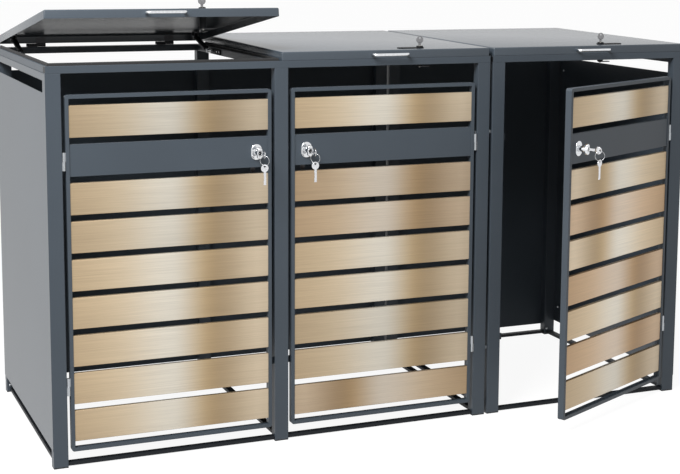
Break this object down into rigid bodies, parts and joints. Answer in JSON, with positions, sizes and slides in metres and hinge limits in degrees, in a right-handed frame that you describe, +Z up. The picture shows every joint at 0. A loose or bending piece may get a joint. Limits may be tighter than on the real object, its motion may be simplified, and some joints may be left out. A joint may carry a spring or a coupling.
{
  "type": "wheelie bin store",
  "caption": "Steel store of adjoining bays for wheelie bins, each bay with a slatted hinged door and a sheet lid on gas stays, both with keyed cam locks.",
  "frame": {"origin": "middle of the bounding box on the ground, at rest with the left lid and the right door partly open", "axes": "+Z up, -Y the front with the doors, +X to the right along the front, the longest extent"},
  "size_m": [2.013, 1.118, 1.2834],
  "materials": {
    "anthracite": "satin fine-texture powder coat",
    "bronze_coat": "brushed, bronze tinted lacquer",
    "black_coat": "satin",
    "zinc": "zinc plated",
    "chrome": "polished",
    "key_metal": "nickel plated",
    "seal": "matt",
    "moulding": "matt"
  },
  "bodies": {
    "frame": {"posts_front": "anthracite", "posts_rear": "anthracite", "feet_and_plugs": "moulding", "top_rails_width": "anthracite", "top_rails_depth": "anthracite", "bottom_bars_width": "anthracite", "bottom_bars_depth": "anthracite", "side_wall_left": "anthracite", "side_wall_right": "anthracite", "rear_walls": "anthracite", "wall_fixings": "zinc", "module_bolts": "zinc", "lid_hinge_bases": "zinc", "stay_bases": "black_coat", "lid_seals": "seal", "post_knuckles": "zinc", "door_stops": "anthracite"},
    "lid_1": {"lid_pan_1": "anthracite", "lid_handle_1": "chrome", "lid_lock_1": "black_coat", "lid_fittings_1": "zinc"},
    "lid_key_1": {"lid_key_1": "key_metal"},
    "stay_rods_1": {"stay_rods_1": "chrome"},
    "stay_cylinders_1": {"stay_cylinders_1": "black_coat"},
    "door_1": {"door_frame_1": "anthracite", "door_strips_1": "bronze_coat", "door_lock_panel_1": "anthracite", "door_knuckles_1": "zinc", "door_lock_1": "chrome"},
    "door_key_1": {"door_key_1": "key_metal"},
    "spare_key_1": {"spare_key_1": "key_metal"},
    "lid_2": {"lid_pan_2": "anthracite", "lid_handle_2": "chrome", "lid_lock_2": "black_coat", "lid_fittings_2": "zinc"},
    "lid_key_2": {"lid_key_2": "key_metal"},
    "stay_rods_2": {"stay_rods_2": "chrome"},
    "stay_cylinders_2": {"stay_cylinders_2": "black_coat"},
    "door_2": {"door_frame_2": "anthracite", "door_strips_2": "bronze_coat", "door_lock_panel_2": "anthracite", "door_knuckles_2": "zinc", "door_lock_2": "chrome"},
    "door_key_2": {"door_key_2": "key_metal"},
    "spare_key_2": {"spare_key_2": "key_metal"},
    "lid_3": {"lid_pan_3": "anthracite", "lid_handle_3": "chrome", "lid_lock_3": "black_coat", "lid_fittings_3": "zinc"},
    "lid_key_3": {"lid_key_3": "key_metal"},
    "stay_rods_3": {"stay_rods_3": "chrome"},
    "stay_cylinders_3": {"stay_cylinders_3": "black_coat"},
    "door_3": {"door_frame_3": "anthracite", "door_strips_3": "bronze_coat", "door_lock_panel_3": "anthracite", "door_knuckles_3": "zinc", "door_lock_3": "chrome"},
    "door_key_3": {"door_key_3": "key_metal"},
    "spare_key_3": {"spare_key_3": "key_metal"}
  },
  "joints": [
    {"name": "lid_1_hinge", "type": "hinge", "parent": "frame", "child": "lid_1", "pos_m": [-0.675, 0.55287, 1.11], "axis": [-1, 0, 0], "range_deg": [-9, 41]},
    {"name": "stay_rods_1_turn", "type": "hinge", "parent": "frame", "child": "stay_rods_1", "pos_m": [-0.675, 0.34587, 1.095], "axis": [1, 0, 0], "range_deg": [-2.21, 9.18]},
    {"name": "stay_cylinders_1_slide", "type": "slide", "parent": "stay_rods_1", "child": "stay_cylinders_1", "axis": [0, 0.9698, 0.2438], "range_m": [-0.00828, 0.03594]},
    {"name": "lid_key_1_turn", "type": "hinge", "parent": "lid_1", "child": "lid_key_1", "pos_m": [-0.558, -0.18841, 1.24766], "axis": [0, -0.1446, -0.9895], "range_deg": [0, 90]},
    {"name": "door_1_hinge", "type": "hinge", "parent": "frame", "child": "door_1", "pos_m": [-0.96, -0.24253, 0.5355], "axis": [0, 0, -1], "range_deg": [0, 110]},
    {"name": "door_key_1_turn", "type": "hinge", "parent": "door_1", "child": "door_key_1", "pos_m": [-0.42, -0.24453, 0.8505], "axis": [0, -1, 0], "range_deg": [0, 90]},
    {"name": "spare_key_1_swing", "type": "hinge", "parent": "door_key_1", "child": "spare_key_1", "pos_m": [-0.42, -0.31593, 0.8505], "axis": [1, 0, 0], "range_deg": [-60, 45]},
    {"name": "lid_2_hinge", "type": "hinge", "parent": "frame", "child": "lid_2", "pos_m": [-0.015, 0.55287, 1.11], "axis": [-1, 0, 0], "range_deg": [0, 50]},
    {"name": "stay_rods_2_turn", "type": "hinge", "parent": "frame", "child": "stay_rods_2", "pos_m": [-0.015, 0.34587, 1.095], "axis": [1, 0, 0], "range_deg": [-0.25, 11.14]},
    {"name": "stay_cylinders_2_slide", "type": "slide", "parent": "stay_rods_2", "child": "stay_cylinders_2", "axis": [0, 0.9776, 0.2104], "range_m": [-0.0005, 0.04372]},
    {"name": "lid_key_2_turn", "type": "hinge", "parent": "lid_2", "child": "lid_key_2", "pos_m": [0.102, -0.20082, 1.13], "axis": [0, 0.0119, -0.9999], "range_deg": [0, 90]},
    {"name": "door_2_hinge", "type": "hinge", "parent": "frame", "child": "door_2", "pos_m": [0.27, -0.24253, 0.5355], "axis": [0, 0, 1], "range_deg": [0, 110]},
    {"name": "door_key_2_turn", "type": "hinge", "parent": "door_2", "child": "door_key_2", "pos_m": [-0.27, -0.24453, 0.8505], "axis": [0, 1, 0], "range_deg": [0, 90]},
    {"name": "spare_key_2_swing", "type": "hinge", "parent": "door_key_2", "child": "spare_key_2", "pos_m": [-0.27, -0.31593, 0.8505], "axis": [1, 0, 0], "range_deg": [-60, 45]},
    {"name": "lid_3_hinge", "type": "hinge", "parent": "frame", "child": "lid_3", "pos_m": [0.665, 0.55287, 1.11], "axis": [-1, 0, 0], "range_deg": [0, 50]},
    {"name": "stay_rods_3_turn", "type": "hinge", "parent": "frame", "child": "stay_rods_3", "pos_m": [0.665, 0.34587, 1.095], "axis": [1, 0, 0], "range_deg": [-0.25, 11.14]},
    {"name": "stay_cylinders_3_slide", "type": "slide", "parent": "stay_rods_3", "child": "stay_cylinders_3", "axis": [0, 0.9776, 0.2104], "range_m": [-0.0005, 0.04372]},
    {"name": "lid_key_3_turn", "type": "hinge", "parent": "lid_3", "child": "lid_key_3", "pos_m": [0.722, -0.20082, 1.13], "axis": [0, 0.0119, -0.9999], "range_deg": [0, 90]},
    {"name": "door_3_hinge", "type": "hinge", "parent": "frame", "child": "door_3", "pos_m": [0.96, -0.24253, 0.5355], "axis": [0, 0, 1], "range_deg": [-27, 83]},
    {"name": "door_key_3_turn", "type": "hinge", "parent": "door_3", "child": "door_key_3", "pos_m": [0.47976, -0.48947, 0.8505], "axis": [-0.454, 0.891, 0], "range_deg": [0, 90]},
    {"name": "spare_key_3_swing", "type": "hinge", "parent": "door_key_3", "child": "spare_key_3", "pos_m": [0.51218, -0.55309, 0.8505], "axis": [0.891, 0.454, 0], "range_deg": [-60, 45]}
  ],
  "couplings": [
    {"joint": "stay_rods_1_turn", "follows": "lid_1_hinge", "ratio": 0.21783},
    {"joint": "stay_cylinders_1_slide", "follows": "lid_1_hinge", "m_per_rad": 0.049532},
    {"joint": "stay_rods_2_turn", "follows": "lid_2_hinge", "ratio": 0.21783},
    {"joint": "stay_cylinders_2_slide", "follows": "lid_2_hinge", "m_per_rad": 0.049532},
    {"joint": "stay_rods_3_turn", "follows": "lid_3_hinge", "ratio": 0.21783},
    {"joint": "stay_cylinders_3_slide", "follows": "lid_3_hinge", "m_per_rad": 0.049532}
  ]
}
